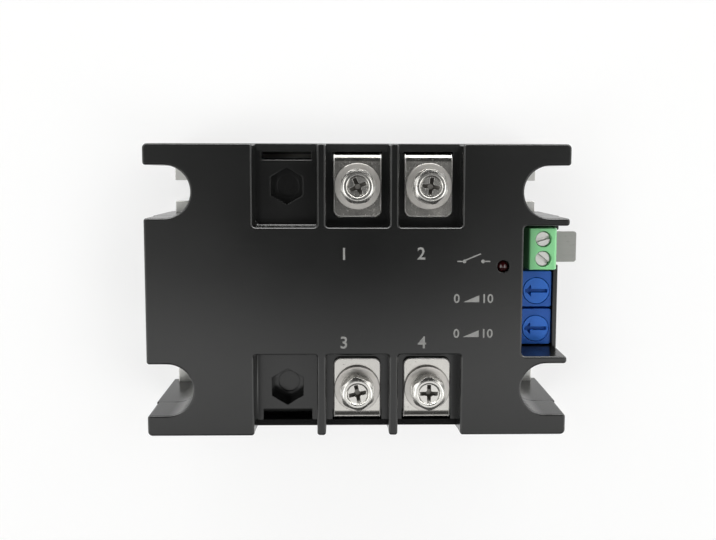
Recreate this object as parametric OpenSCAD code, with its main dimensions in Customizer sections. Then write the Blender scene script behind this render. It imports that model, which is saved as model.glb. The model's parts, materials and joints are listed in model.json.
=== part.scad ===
// Single-phase soft starter module: a moulded six-bay housing on a metal base plate.
// Millimetres. +Z out of the front face, +X towards the control recess,
// origin at the middle of the base plate's underside.

/* [Housing] */
// Length of the front face
face_l = 105; // [104:0.5:112]
// Width of the front face
face_w = 73; // [72:0.5:80]
// Height from the base plate's underside to the front face
overall_h = 33; // [32.5:0.5:40]
// Depth of the cover, from the front face to its joint with the case
cover_h = 11; // [10.5:0.1:11.6]
// Thickness of the cover's front wall
front_t = 2; // [1.5:0.1:3]
// Thickness of the upright walls at the front face
wall_t = 1.8; // [1.4:0.1:2]
// Outward lean of each shell's walls over its height
wall_draft = 0.3; // [0.1:0.05:0.6]
// Step outwards from the cover to the case at their joint
joint_step = 0.15; // [0.05:0.05:0.4]
// Radius of the upright corners
corner_r = 1.2; // [0.8:0.1:2.5]

/* [Base plate] */
// Thickness of the base plate
plate_t = 3; // [2:0.1:4]
// Distance from the plate's edge in to the line of the front face's edge
plate_margin = 1; // [0.9:0.1:1.5]
// Height of the case's rim above the plate's underside
rim_lift = 0.4; // [0.2:0.1:1]
// Width of the plate's open mounting slots
slot_w = 5.9; // [4.5:0.1:7]
// Distance between the ends of facing slots, at their arc centres
slot_pitch_x = 93.5; // [90:0.5:95]
// Distance of a slot from its notch's middle line, towards the plate's middle line
slot_shift = 0.5; // [0:0.1:1]

/* [Mounting notches] */
// Width of the notches in the moulded shells
notch_w = 13; // [11:0.1:13.2]
// Distance between facing notches, at their arc centres
notch_pitch_x = 95; // [92:0.5:97]
// Thickness of the walls between the control recess and its neighbouring notches
side_wall_t = 1.85; // [1.7:0.05:2.2]

/* [Terminal bays] */
// Distance between neighbouring bays
bay_pitch = 18; // [17:0.1:19]
// Width of one bay
bay_w = 15.8; // [14.5:0.1:16.2]
// Length of a bay, in from the edge
bay_len = 20.5; // [20:0.1:20.8]
// Depth of a bay below the front face
bay_depth = 7; // [6.6:0.1:7.5]
// Radius of the bays' inner corners
bay_corner_r = 0.8; // [0.4:0.1:2]
// Distance from the edge in to the terminal screws
screw_inset = 10.5; // [10:0.1:11]
// Depth of a nut pocket below the bay's deck
pocket_depth = 5; // [4.9:0.1:5.5]
// Outer diameter of the boss under each nut pocket
boss_d = 13; // [12:0.1:13.4]
// Floor left under the screw's tip in a boss
boss_floor = 1.2; // [0.8:0.1:2]
// Depth of the plain hole under the pocket of an unfitted bay
blank_bore = 0.5; // [0.3:0.1:2]
// Room that a deck's slot leaves outside the terminal's leg
leg_room = 0.3; // [0.2:0.05:0.6]
// Drop of a bay's outer lip, from the slot to the edge
lip_drop = 1; // [0.4:0.1:1.5]

/* [Terminals] */
// Width of a terminal strip
tab_w = 12.2; // [10:0.1:12.4]
// Thickness of a terminal strip
tab_t = 1.2; // [0.8:0.1:1.4]
// Distance from the edge in to the terminal's leg
tab_inset = 2.1; // [2:0.05:2.3]
// Length of the terminal's flat top, from the leg's outer face
tab_len = 16.2; // [15.5:0.1:17]
// Inside radius of the strip's bends
bend_r = 1.3; // [0.6:0.1:1.5]
// Radius of the strip's free corners
tab_corner_r = 1.8; // [0.5:0.1:2.5]
// Length of the foot that is soldered down
foot_len = 13; // [11:0.5:14]

/* [Terminal screws] */
// Thread diameter
thread_d = 5; // [4:0.5:5]
// Length under the head
screw_len = 12; // [11.5:0.1:12.5]
// Width across the flats of the head and of the nut
hex_af = 8; // [7:0.1:8.2]
// Height of the head
head_h = 3.5; // [2.5:0.1:3.8]
// Height of the nut
nut_h = 4.7; // [3.5:0.1:4.8]
// Outer diameter of the flat washer
flat_d = 11.7; // [10:0.1:12.2]
// Thickness of the flat washer
flat_t = 1; // [0.6:0.1:1.2]
// Outer diameter of the spring washer
spring_d = 8.8; // [8:0.1:9.2]
// Thickness of the spring washer
spring_t = 1.3; // [1:0.1:1.6]
// Width of the split in the spring washer
spring_split = 0.7; // [0.4:0.1:1]
// Length across the driver cross
cross_l = 4.6; // [3.5:0.1:4.8]
// Width of one slot of the driver cross
cross_w = 0.95; // [0.6:0.05:1.2]
// Depth of the driver cross below the head's dish
cross_depth = 1.8; // [1:0.1:2]
// Depth of the dish in the head
dish_depth = 0.5; // [0.3:0.05:0.6]

/* [Control recess] */
// Length of the recess along the edge
recess_l = 32.8; // [32.4:0.1:34]
// Depth of the recess, in from the edge
recess_depth = 11.4; // [11.2:0.1:13]
// Radius of the recess's inner corners
recess_corner_r = 1; // [0.4:0.1:2]
// Thickness of the wall behind the recess
recess_wall = 1.4; // [1:0.1:2]
// Thickness of the case's wall in front of the controls
apron_t = 1.2; // [0.9:0.1:1.4]
// Play between the link and the gate that it leaves through
gate_play = 0.6; // [0.3:0.1:0.9]

/* [Terminal block] */
// Distance between the block's poles
pole_pitch = 5.08; // [5:0.04:5.08]
// Length of the block along its row of poles
block_l = 10.7; // [10.6:0.1:11]
// Depth of the block, from its back to its wire face
block_d = 7.4; // [7.3:0.1:7.8]
// Height of the block above the board
block_h = 10; // [9.8:0.1:11]
// Share of the recess's spare length that is left above the block
block_share = 0.36; // [0.2:0.01:0.4]
// Gap between the recess's wall and the block's back
block_back = 3; // [2.6:0.1:3]
// Head diameter of a block screw
block_head_d = 3.7; // [3:0.1:3.8]
// Thread diameter of a block screw
block_thread_d = 2.4; // [2:0.1:2.6]
// Wall of a clamp cage
cage_wall = 0.8; // [0.6:0.05:0.9]
// Travel of a clamp cage
cage_travel = 1.5; // [1:0.1:1.5]
// Thickness of the link's sheet
link_t = 1; // [0.6:0.1:1]
// Width of the link's prongs
prong_w = 2.4; // [1.6:0.1:2.4]
// Width of the link outside the block
link_w = 8.1; // [7.5:0.1:8.4]
// Length of the link outside the block
link_reach = 6.7; // [5:0.1:8]

/* [Trimmers] */
// Side of a trimmer's square body
trimmer_w = 9.53; // [9:0.01:9.6]
// Height of a trimmer's body above the board
trimmer_h = 4.83; // [4.5:0.01:6]
// Share of the recess's spare length between the block and the nearer trimmer
trimmer_share = 0.34; // [0.2:0.01:0.36]
// Share of the recess's spare length between the trimmers
pair_share = 0.19; // [0.1:0.01:0.2]
// Diameter of a trimmer's rotor
rotor_d = 6.9; // [5.5:0.1:7.2]
// Distance of a rotor from its body's middle towards the edge
rotor_shift_x = 0.7; // [0:0.1:0.8]
// Distance of a rotor from its body's middle along the edge
rotor_shift_y = -0.5; // [-0.8:0.1:0.8]
// Thickness of a trimmer's rotor
rotor_t = 1.6; // [1.2:0.1:2.2]
// Width of the rotor's screwdriver slot
rotor_slot_w = 0.9; // [0.6:0.05:1.2]

/* [Status lamp] */
// Distance from the right-hand edge in to the lamp
lamp_inset = 16.4; // [15.5:0.1:18]
// Distance from the middle line up to the lamp
lamp_y = 6.3; // [4:0.1:8]
// Diameter of the lamp's lens
lamp_d = 2.9; // [2.5:0.1:3.2]
// Length of the lamp's body
lamp_h = 5.3; // [4.5:0.1:6]

/* [Board and power stage] */
// Distance from the joint of the shells down to the board's upper face
board_drop = 5.6; // [5.2:0.1:6]
// Thickness of the board
board_t = 1.6; // [1.2:0.1:2]
// Gap between the board and each side of the recess
board_margin = 0.9; // [0.7:0.1:1.2]
// Length of the board
board_l = 81; // [78:0.5:82]
// Gap between the board's end and the case's wall in front of it
board_end_gap = 1.3; // [1:0.1:1.6]
// Thickness of the case's ribs that carry the board
rib_t = 2; // [1.5:0.1:3]
// Thickness of the ceramic substrate
ceramic_t = 1; // [0.6:0.1:1.4]
// Thickness of the copper pads on it
pad_t = 0.4; // [0.3:0.05:0.6]
// Side of a thyristor chip
chip_w = 5.5; // [5:0.1:6]
// Thickness of a thyristor chip
chip_t = 0.5; // [0.4:0.05:0.7]
// Thickness of the straps over the chips
strap_t = 0.5; // [0.4:0.05:0.8]

/* [Pieces on the board] */
// Width of the chip packages
package_w = 6.4; // [5.5:0.1:6.6]
// Height of the chip packages
package_h = 3.3; // [2.5:0.1:3.6]
// Distance between a package's legs
package_pitch = 2.54; // [2:0.02:2.54]
// Length of the controller's package
controller_l = 9.6; // [9.2:0.1:10.5]
// Length of an optocoupler's package
optocoupler_l = 7.3; // [6.8:0.1:8]
// Length of the rectifier's package
rectifier_l = 8.2; // [6:0.1:8.4]
// Length of the film capacitor
film_l = 15; // [12:0.5:16]
// Width of the film capacitor
film_w = 6; // [4.5:0.1:7]
// Height of the film capacitor
film_h = 9; // [7:0.1:11]
// Diameter of the can capacitor
can_d = 8; // [6.3:0.1:8.5]
// Height of the can capacitor
can_h = 11; // [8:0.1:12]
// Diameter of a resistor
resistor_d = 2.3; // [1.8:0.1:2.6]
// Length of a resistor
resistor_l = 6.3; // [5:0.1:7]
// Distance between the resistors
resistor_pitch = 3.4; // [3:0.1:3.5]

/* [Clearances] */
// Gap at a thread, on the radius
thread_gap = 0.05; // [0.02:0.01:0.1]
// Gap round a piece that turns, on the radius
turn_gap = 0.1; // [0.05:0.01:0.12]
// Gap round a piece that is dropped or pushed into place
fit_gap = 0.15; // [0.05:0.01:0.2]
// Gap between a screw and the plain holes that it passes through, on the radius
pass_gap = 0.25; // [0.15:0.01:0.3]

/* [Hidden] */
$fn = 64;
eps = 0.01;

// Colours, as the photograph shows them
black_plastic = [0.13, 0.13, 0.13];
plated = [0.78, 0.78, 0.76];
green_plastic = [0.42, 0.76, 0.48];
blue_plastic = [0.16, 0.36, 0.72];
board_green = [0.10, 0.32, 0.20];

// Heights of the main levels
joint_z = overall_h - cover_h;
deck_z = overall_h - bay_depth;
tab_top = deck_z + tab_t;
spring_z = tab_top + flat_t;
head_z = spring_z + spring_t;
tip_z = head_z - screw_len;
pocket_z = deck_z - pocket_depth;
boss_z = tip_z - boss_floor;
board_top = joint_z - board_drop;
board_z = board_top - board_t;

// Growth of the outline below the front face, on each side
cover_growth = wall_draft;
case_growth = wall_draft + joint_step;

// Places of the terminals: column in x, side in y, in the order of their numbers
terminal_places = [[0, 1], [1, 1], [0, -1], [1, -1]];
bay_columns = [-1, 0, 1];
screw_y = face_w / 2 - screw_inset;
leg_y = face_w / 2 - tab_inset;
bays_half = bay_pitch + bay_w / 2;
free_half = face_w / 2 - bay_len - wall_t;

// Mounting notches and slots, which follow the recess between them
notch_pitch_y = recess_l + 2 * side_wall_t + notch_w;
slot_pitch_y = notch_pitch_y - 2 * slot_shift;
notch_reach = 12;

// Recess and what stands in it
recess_x = face_l / 2 - recess_depth;
apron_x = face_l / 2 + case_growth - apron_t;
block_x = recess_x + block_back;
wire_face_x = block_x + block_d;
pole_x = block_x + block_d / 2;
trimmer_x = apron_x - trimmer_w / 2 - fit_gap;
recess_spare = recess_l - block_l - 2 * trimmer_w;
block_y = recess_l / 2 - block_share * recess_spare - block_l / 2;
trimmer_pitch = trimmer_w + pair_share * recess_spare;
trimmer_y = block_y - block_l / 2 - trimmer_share * recess_spare - trimmer_w / 2;

// Inside the block, heights above the board
clamp_floor = 2.9;
tongue_t = 0.6;
pin_w = 1;
cage_play = 0.2;
cage_nut_t = 1.1;
cage_l = 3.8;
cage_w = prong_w + 2 * fit_gap + 2 * cage_wall;
cage_front_room = 0.3;
cage_back_room = 0.9;
seat_t = 0.6;
block_head_h = 1.2;
tongue_z = clamp_floor + link_t;
window_top = tongue_z + tongue_t + cage_travel + cage_play;
cage_top = window_top + cage_nut_t;
cavity_top = cage_top + cage_play;
head_seat = cavity_top + seat_t;
cavity_floor = clamp_floor - cage_wall - cage_travel - cage_play;
contact_w = prong_w - 0.2;
contact_back = -cage_l / 2 - cage_back_room + fit_gap;
block_screw_turns = [17, -38];

// Board and power stage
board_w = recess_l - 2 * board_margin;
board_x2 = apron_x - board_end_gap;
board_x1 = board_x2 - board_l;
shelf_d = 3;
ceramic_z = plate_t;
pad_z = ceramic_z + ceramic_t;
chip_z = pad_z + pad_t;
strap_z = chip_z + chip_t;
chip_x = 3;
chip_y = 8;
pad_gap = 1;
pad_w = tab_w;
pad_end = leg_y - foot_len + 5;
gate_x = 1.8;
lead_d = 0.6;
lead_above = 0.4;
lead_below = 1.4;

// Plain shapes

module rounded_rect(l, w, r) {
  square([l - 2 * r, w], center = true);
  square([l, w - 2 * r], center = true);
  for (x = [-1, 1], y = [-1, 1])
    translate([x * (l / 2 - r), y * (w / 2 - r)])
      circle(r);
}

// A block of l by w at its top whose walls lean out by lean over its height
module drafted_block(l, w, r, lean, h) {
  rotate([90, 0, 0])
    linear_extrude(w - 2 * r, center = true)
      polygon([[-l / 2 - lean, 0], [l / 2 + lean, 0], [l / 2, h], [-l / 2, h]]);
  rotate([90, 0, 90])
    linear_extrude(l - 2 * r, center = true)
      polygon([[-w / 2 - lean, 0], [w / 2 + lean, 0], [w / 2, h], [-w / 2, h]]);
  for (x = [-1, 1], y = [-1, 1])
    translate([x * (l / 2 - r), y * (w / 2 - r), 0])
      cylinder(r1 = r + lean, r2 = r, h = h);
}

// Four open-ended slots of radius r with arc centres pitch_x and pitch_y apart
module open_slots(r, pitch_x, pitch_y) {
  for (x = [-1, 1], y = [-1, 1])
    translate([x * pitch_x / 2, y * pitch_y / 2]) {
      circle(r);
      translate([x * notch_reach / 2, 0])
        square([notch_reach, 2 * r], center = true);
    }
}

module hex_prism(af, h) {
  rotate(90)
    cylinder(d = af / cos(30), h = h, $fn = 6);
}

module at_terminal(n) {
  place = terminal_places[n - 1];
  translate([place[0] * bay_pitch, place[1] * screw_y, 0])
    children();
}

module at_pole(n) {
  translate([pole_x, block_y + (n == 1 ? 0.5 : -0.5) * pole_pitch, board_top])
    children();
}

module at_trimmer(n) {
  translate([trimmer_x, trimmer_y - (n - 1) * trimmer_pitch, board_top])
    children();
}

// Housing

module bay_rows() {
  for (y = [-1, 1])
    translate([0, y * (face_w / 2 - bay_len / 2), 0])
      children();
}

module cover_cavity_outline() {
  difference() {
    square([face_l - 2 * wall_t, face_w - 2 * wall_t], center = true);
    bay_rows()
      square([2 * (bays_half + wall_t), bay_len + 2 * wall_t], center = true);
    open_slots(notch_w / 2 + wall_t, notch_pitch_x, notch_pitch_y);
    translate([recess_x - recess_wall, -recess_l / 2 - recess_wall])
      square([recess_depth + recess_wall + eps, recess_l + 2 * recess_wall]);
  }
}

module nut_pocket(bore) {
  translate([0, 0, pocket_z])
    hex_prism(hex_af + fit_gap, pocket_depth + eps);
  translate([0, 0, pocket_z - bore])
    cylinder(d = thread_d + 2 * pass_gap, h = bore + eps);
}

module bay_cut() {
  depth = bay_len + wall_t + eps;
  translate([0, 0, deck_z])
    linear_extrude(bay_depth + eps)
      translate([0, (depth - bay_len) / 2 - eps])
        rounded_rect(bay_w, depth, bay_corner_r);
}

// Slot for a terminal's leg, its inner edge rounded to clear the bend
module leg_slot() {
  inner_y = leg_y - tab_t - fit_gap;
  slot_l = tab_w + 2 * pass_gap;
  translate([-slot_l / 2, inner_y, joint_z - eps])
    cube([slot_l, leg_y + leg_room - inner_y, deck_z - joint_z + 2 * eps]);
  rotate([90, 0, 90])
    linear_extrude(slot_l, center = true)
      translate([inner_y - bend_r, deck_z - bend_r])
        difference() {
          square(bend_r + eps);
          circle(bend_r);
        }
}

// Outer lip that falls away from the leg's slot
module lip_slope() {
  lip_y = leg_y + leg_room;
  run = face_w / 2 + wall_t - lip_y;
  fall = lip_drop * run / (face_w / 2 - lip_y);
  rotate([90, 0, 90])
    linear_extrude(bay_w, center = true)
      translate([lip_y, deck_z])
        polygon([[0, 0], [run, -fall], [run, eps], [0, eps]]);
}

module top_cover() {
  fitted_bore = pocket_z - tip_z;
  color(black_plastic)
    difference() {
      union() {
        difference() {
          translate([0, 0, joint_z])
            drafted_block(face_l, face_w, corner_r, cover_growth, cover_h);
          translate([0, 0, joint_z - eps])
            linear_extrude(cover_h - front_t + eps)
              cover_cavity_outline();
        }
        for (x = bay_columns, y = [-1, 1])
          translate([x * bay_pitch, y * screw_y, boss_z])
            cylinder(d = boss_d, h = deck_z - boss_z - eps);
      }
      for (x = bay_columns, side = [0, 180])
        translate([x * bay_pitch, 0, 0])
          rotate(side) {
            translate([0, face_w / 2 - bay_len / 2, 0])
              bay_cut();
            translate([0, screw_y, 0])
              nut_pocket(x < 0 ? blank_bore : fitted_bore);
            leg_slot();
            lip_slope();
          }
      translate([0, 0, joint_z - eps])
        linear_extrude(cover_h + 2 * eps) {
          open_slots(notch_w / 2, notch_pitch_x, notch_pitch_y);
          translate([recess_x + (recess_depth + notch_reach) / 2, 0])
            rounded_rect(recess_depth + notch_reach, recess_l, recess_corner_r);
        }
      translate([face_l / 2 - lamp_inset, lamp_y, joint_z])
        cylinder(d = lamp_d + 2 * turn_gap, h = cover_h + eps);
    }
}

module case_cavity_outline() {
  difference() {
    union() {
      square([face_l - 2 * wall_t, face_w - 2 * wall_t], center = true);
      translate([0, -recess_l / 2])
        square([apron_x, recess_l]);
    }
    open_slots(notch_w / 2 + wall_t, notch_pitch_x, notch_pitch_y);
  }
}

module plate_outline(gap) {
  rounded_rect(face_l - 2 * plate_margin + 2 * gap, face_w - 2 * plate_margin + 2 * gap, corner_r + gap);
}

module lower_case() {
  case_h = joint_z - rim_lift;
  shelf_z = board_z - rib_t;
  color(black_plastic) {
    difference() {
      translate([0, 0, rim_lift])
        drafted_block(face_l + 2 * case_growth, face_w + 2 * case_growth, corner_r + case_growth,
                      wall_draft, case_h);
      translate([0, 0, plate_t])
        linear_extrude(joint_z)
          case_cavity_outline();
      translate([0, 0, -eps])
        linear_extrude(plate_t + 2 * eps)
          plate_outline(fit_gap);
      translate([0, 0, -eps])
        linear_extrude(joint_z + 1)
          open_slots(notch_w / 2, notch_pitch_x, notch_pitch_y);
      // Gate that the wires or the link leave through
      translate([wire_face_x, block_y, board_top + block_h / 2])
        cube([2 * shelf_d + block_d, link_w + 2 * gate_play, block_h], center = true);
    }
    // Shelf and rib that carry the board
    translate([apron_x - shelf_d, -board_w / 2, shelf_z])
      cube([shelf_d + eps, board_w, rib_t]);
    translate([board_x1, -face_w / 2 + wall_t - eps, plate_t])
      cube([rib_t, face_w - 2 * wall_t + 2 * eps, board_z - plate_t]);
  }
}

module base_plate() {
  color(plated)
    linear_extrude(plate_t)
      difference() {
        plate_outline(0);
        open_slots(slot_w / 2, slot_pitch_x, slot_pitch_y);
      }
}

// Terminals and their screws

// Section of a strip: flat top, leg and foot, drawn in y and z
module terminal_profile() {
  outer_r = bend_r + tab_t;
  foot_z = chip_z;
  for (end = [[tab_top - outer_r, 1], [foot_z + outer_r, -1]])
    translate([leg_y - outer_r, end[0]])
      intersection() {
        difference() {
          circle(outer_r);
          circle(bend_r);
        }
        translate([0, end[1] > 0 ? 0 : -outer_r])
          square(outer_r);
      }
  translate([leg_y - tab_t, foot_z + outer_r])
    square([tab_t, tab_top - foot_z - 2 * outer_r]);
  translate([leg_y - foot_len, foot_z])
    square([foot_len - outer_r, tab_t]);
}

module terminal(n) {
  place = terminal_places[n - 1];
  outer_r = bend_r + tab_t;
  flat_len = tab_len - outer_r;
  color(plated)
    translate([place[0] * bay_pitch, 0, 0])
      rotate(place[1] > 0 ? 0 : 180)
        difference() {
          union() {
            rotate([90, 0, 90])
              linear_extrude(tab_w, center = true)
                terminal_profile();
            translate([0, leg_y - outer_r - flat_len / 2, deck_z])
              linear_extrude(tab_t) {
                translate([0, tab_corner_r / 2])
                  square([tab_w, flat_len - tab_corner_r], center = true);
                rounded_rect(tab_w, flat_len, tab_corner_r);
              }
          }
          translate([0, screw_y, deck_z - eps])
            cylinder(d = thread_d + 2 * pass_gap, h = tab_t + 2 * eps);
        }
}

module terminal_nut(n) {
  color(plated)
    at_terminal(n)
      translate([0, 0, deck_z - nut_h])
        difference() {
          hex_prism(hex_af, nut_h);
          translate([0, 0, -eps])
            cylinder(d = thread_d, h = nut_h + 2 * eps);
        }
}

module flat_washer(n) {
  color(plated)
    at_terminal(n)
      translate([0, 0, tab_top])
        difference() {
          cylinder(d = flat_d, h = flat_t);
          translate([0, 0, -eps])
            cylinder(d = thread_d + 2 * fit_gap, h = flat_t + 2 * eps);
        }
}

module spring_washer(n) {
  color(plated)
    at_terminal(n)
      translate([0, 0, spring_z])
        difference() {
          cylinder(d = spring_d, h = spring_t);
          translate([0, 0, -eps])
            cylinder(d = thread_d + 2 * fit_gap, h = spring_t + 2 * eps);
          rotate(-50)
            translate([spring_d / 2, 0, spring_t / 2])
              rotate([35, 0, 0])
                cube([spring_d, spring_split, 4 * spring_t], center = true);
        }
}

// How far the heads and their driver crosses are turned, in the order of the terminals
head_turns = [30, 11, 8, 4];
cross_turns = [24, -8, 11, 0];

// Cold-formed head: a hexagon with trimmed corners, a raised rim and a cross in its dish
module screw_head(turn, cross_turn) {
  corner_d = hex_af * 1.09;
  crown_d = hex_af * 0.88;
  crown_drop = (corner_d - crown_d) / 2 * tan(30);
  dish_d = hex_af * 0.69;
  dish_slope = 0.3;
  dish_z = head_h - dish_depth;
  difference() {
    intersection() {
      rotate(turn)
        hex_prism(hex_af, head_h);
      union() {
        cylinder(d = corner_d, h = head_h - crown_drop);
        translate([0, 0, head_h - crown_drop])
          cylinder(d1 = corner_d, d2 = crown_d, h = crown_drop);
      }
    }
    translate([0, 0, dish_z])
      cylinder(d1 = dish_d - 2 * dish_slope, d2 = dish_d, h = dish_depth + eps);
    translate([0, 0, dish_z - cross_depth])
      rotate(cross_turn)
        driver_cross();
  }
}

// Four wings that narrow towards the tip of the driver
module driver_cross() {
  tip_d = cross_l * 0.3;
  flare = (cross_l - tip_d) / cross_depth;
  h = cross_depth + dish_depth;
  intersection() {
    for (turn = [0, 90])
      rotate(turn)
        translate([-cross_l, -cross_w / 2, 0])
          cube([2 * cross_l, cross_w, h]);
    cylinder(d1 = tip_d, d2 = tip_d + flare * h, h = h);
  }
  cylinder(d1 = cross_w * 1.1, d2 = cross_w * 2.1, h = h);
}

module terminal_screw(n) {
  shank_d = thread_d - 2 * thread_gap;
  tip_chamfer = 0.6;
  color(plated)
    at_terminal(n) {
      translate([0, 0, head_z])
        screw_head(head_turns[n - 1], cross_turns[n - 1]);
      translate([0, 0, tip_z])
        cylinder(d1 = shank_d - 2 * tip_chamfer, d2 = shank_d, h = tip_chamfer);
      translate([0, 0, tip_z + tip_chamfer])
        cylinder(d = shank_d, h = screw_len - tip_chamfer);
    }
}

// Terminal block, its clamps and its link

module terminal_block() {
  lip = 1.2;
  lip_run = 0.7;
  rear_edge = 0.3;
  shank_hole = block_thread_d + 2 * turn_gap;
  cavity_l = cage_l + cage_front_room + cage_back_room;
  color(green_plastic)
    difference() {
      translate([block_x, block_y, board_top])
        rotate([90, 0, 0])
          linear_extrude(block_l, center = true)
            polygon([[0, 0], [block_d, 0], [block_d, block_h - lip],
                     [block_d - lip_run, block_h], [rear_edge, block_h], [0, block_h - rear_edge]]);
      for (n = [1, 2])
        at_pole(n) {
          translate([-cage_l / 2 - cage_back_room, -cage_w / 2 - fit_gap, cavity_floor])
            cube([cavity_l, cage_w + 2 * fit_gap, cavity_top - cavity_floor]);
          translate([0, 0, cavity_top - eps])
            cylinder(d = shank_hole, h = block_h);
          translate([0, 0, head_seat])
            cylinder(d = block_head_d + 4 * turn_gap, h = block_h);
          translate([0, -prong_w / 2 - fit_gap, clamp_floor - fit_gap])
            cube([block_d, prong_w + 2 * fit_gap, tongue_z + tongue_t - clamp_floor + 2 * fit_gap]);
          translate([contact_back - fit_gap, -contact_w / 2 - fit_gap, -eps])
            cube([tongue_t + 2 * fit_gap, contact_w + 2 * fit_gap, cavity_floor + 2 * eps]);
        }
    }
}

module block_contact(n) {
  color(plated)
    at_pole(n) {
      translate([contact_back, -contact_w / 2, 0])
        cube([tongue_t, contact_w, tongue_z + tongue_t]);
      translate([contact_back, -contact_w / 2, tongue_z])
        cube([cage_l, contact_w, tongue_t]);
      translate([contact_back, -pin_w / 2, -board_t - lead_below])
        cube([tongue_t, pin_w, board_t + lead_below + eps]);
    }
}

module block_cage(n) {
  cage_h = cage_top - clamp_floor + cage_wall;
  color(plated)
    at_pole(n)
      difference() {
        translate([-cage_l / 2, -cage_w / 2, clamp_floor - cage_wall])
          cube([cage_l, cage_w, cage_h]);
        translate([-cage_l, -cage_w / 2 + cage_wall, clamp_floor])
          cube([2 * cage_l, cage_w - 2 * cage_wall, window_top - clamp_floor]);
        translate([0, 0, window_top - eps])
          cylinder(d = block_thread_d + 2 * thread_gap, h = cage_top);
      }
}

module block_screw(n) {
  slot_depth = 0.7;
  slot_width = 0.7;
  tip = tongue_z + tongue_t;
  color(plated)
    at_pole(n)
      difference() {
        union() {
          translate([0, 0, tip])
            cylinder(d = block_thread_d, h = head_seat - tip);
          translate([0, 0, head_seat])
            cylinder(d = block_head_d, h = block_head_h);
        }
        rotate(block_screw_turns[n - 1])
          translate([0, 0, head_seat + block_head_h])
            cube([2 * block_head_d, slot_width, 2 * slot_depth], center = true);
      }
}

module shorting_link() {
  bridge_l = link_reach - gate_play;
  prong_l = block_d / 2 + cage_l / 2 - cage_wall;
  round_r = 0.7;
  color([0.6, 0.6, 0.58])
    translate([0, block_y, board_top + clamp_floor])
      linear_extrude(link_t) {
        translate([wire_face_x + gate_play + bridge_l / 2, 0])
          rounded_rect(bridge_l, link_w, round_r);
        for (y = [-1, 1])
          translate([wire_face_x - prong_l, y * pole_pitch / 2 - prong_w / 2])
            square([prong_l + gate_play + round_r, prong_w]);
      }
}

// Trimmers

trimmer_stand = 0.4;
pivot_d = 2.4;
pivot_h = 1.2;
trimmer_pin_places = [[-2.54, 0], [0, 2.54], [0, -2.54]];

module trimmer_body(n) {
  corner = 0.5;
  foot_d = 1.2;
  foot_inset = 1;
  color(blue_plastic)
    at_trimmer(n)
      difference() {
        union() {
          translate([0, 0, trimmer_stand])
            linear_extrude(trimmer_h - trimmer_stand)
              rounded_rect(trimmer_w, trimmer_w, corner);
          for (x = [-1, 1], y = [-1, 1])
            translate([x * (trimmer_w / 2 - foot_inset), y * (trimmer_w / 2 - foot_inset), 0])
              cylinder(d = foot_d, h = trimmer_stand + eps);
        }
        translate([rotor_shift_x, rotor_shift_y, trimmer_h - rotor_t - turn_gap])
          cylinder(d = rotor_d + 2 * turn_gap, h = rotor_t + 1);
        translate([rotor_shift_x, rotor_shift_y, trimmer_h - rotor_t - pivot_h])
          cylinder(d = pivot_d + 2 * turn_gap, h = rotor_t + 1);
      }
}

module trimmer_rotor(n) {
  slot_depth = 0.8;
  slot_l = rotor_d - 1;
  arrow = 1.5;
  color(blue_plastic)
    at_trimmer(n)
      translate([rotor_shift_x, rotor_shift_y, 0])
        difference() {
          union() {
            translate([0, 0, trimmer_h - rotor_t])
              cylinder(d = rotor_d, h = rotor_t);
            translate([0, 0, trimmer_h - rotor_t - pivot_h + turn_gap])
              cylinder(d = pivot_d, h = pivot_h);
          }
          translate([0, 0, trimmer_h - slot_depth])
            linear_extrude(slot_depth + eps) {
              square([slot_l, rotor_slot_w], center = true);
              translate([-slot_l / 2, 0])
                polygon([[0, 0], [arrow, arrow], [arrow, -arrow]]);
            }
        }
}

module trimmer_pins() {
  color(plated)
    for (n = [1, 2])
      at_trimmer(n)
        for (place = trimmer_pin_places)
          translate([place[0], place[1], -board_t - lead_below])
            cylinder(d = lead_d, h = board_t + lead_below + trimmer_stand);
}

// Status lamp

lamp_x = face_l / 2 - lamp_inset;
lamp_lead_pitch = 1.27;
lamp_lead_d = 0.5;

module status_lamp() {
  dome_r = lamp_d / 2;
  flange = 0.35;
  flange_h = 0.8;
  color([0.45, 0.05, 0.05])
    translate([lamp_x, lamp_y, overall_h - lamp_h])
      rotate_extrude()
        union() {
          square([dome_r, lamp_h - dome_r]);
          square([dome_r + flange, flange_h]);
          intersection() {
            translate([0, lamp_h - dome_r])
              circle(dome_r);
            square([dome_r, lamp_h]);
          }
        }
}

module lamp_leads() {
  low = board_z - lead_below;
  color(plated)
    for (y = [-1, 1])
      translate([lamp_x, lamp_y + y * lamp_lead_pitch / 2, low])
        cylinder(d = lamp_lead_d, h = overall_h - lamp_h - low);
}

// Power stage

module ceramic_substrate() {
  color([0.93, 0.93, 0.9])
    translate([bay_pitch / 2, 0, ceramic_z + ceramic_t / 2])
      cube([bay_pitch + pad_w + 2 * pad_gap, 2 * (pad_end + pad_gap), ceramic_t], center = true);
}

module copper_pads() {
  color([0.72, 0.45, 0.28])
    translate([0, 0, pad_z])
      linear_extrude(pad_t) {
        for (y = [-1, 1])
          translate([0, y * (pad_end + pad_gap) / 2])
            square([pad_w, pad_end - pad_gap], center = true);
        translate([bay_pitch, 0])
          square([pad_w, 2 * pad_end], center = true);
      }
}

module at_chip(n) {
  rotate(n == 1 ? 0 : 180)
    translate([-chip_x, 0, 0])
      children();
}

module thyristor(n) {
  color([0.35, 0.36, 0.4])
    at_chip(n)
      translate([0, chip_y, chip_z + chip_t / 2])
        cube([chip_w, chip_w, chip_t], center = true);
}

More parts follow.
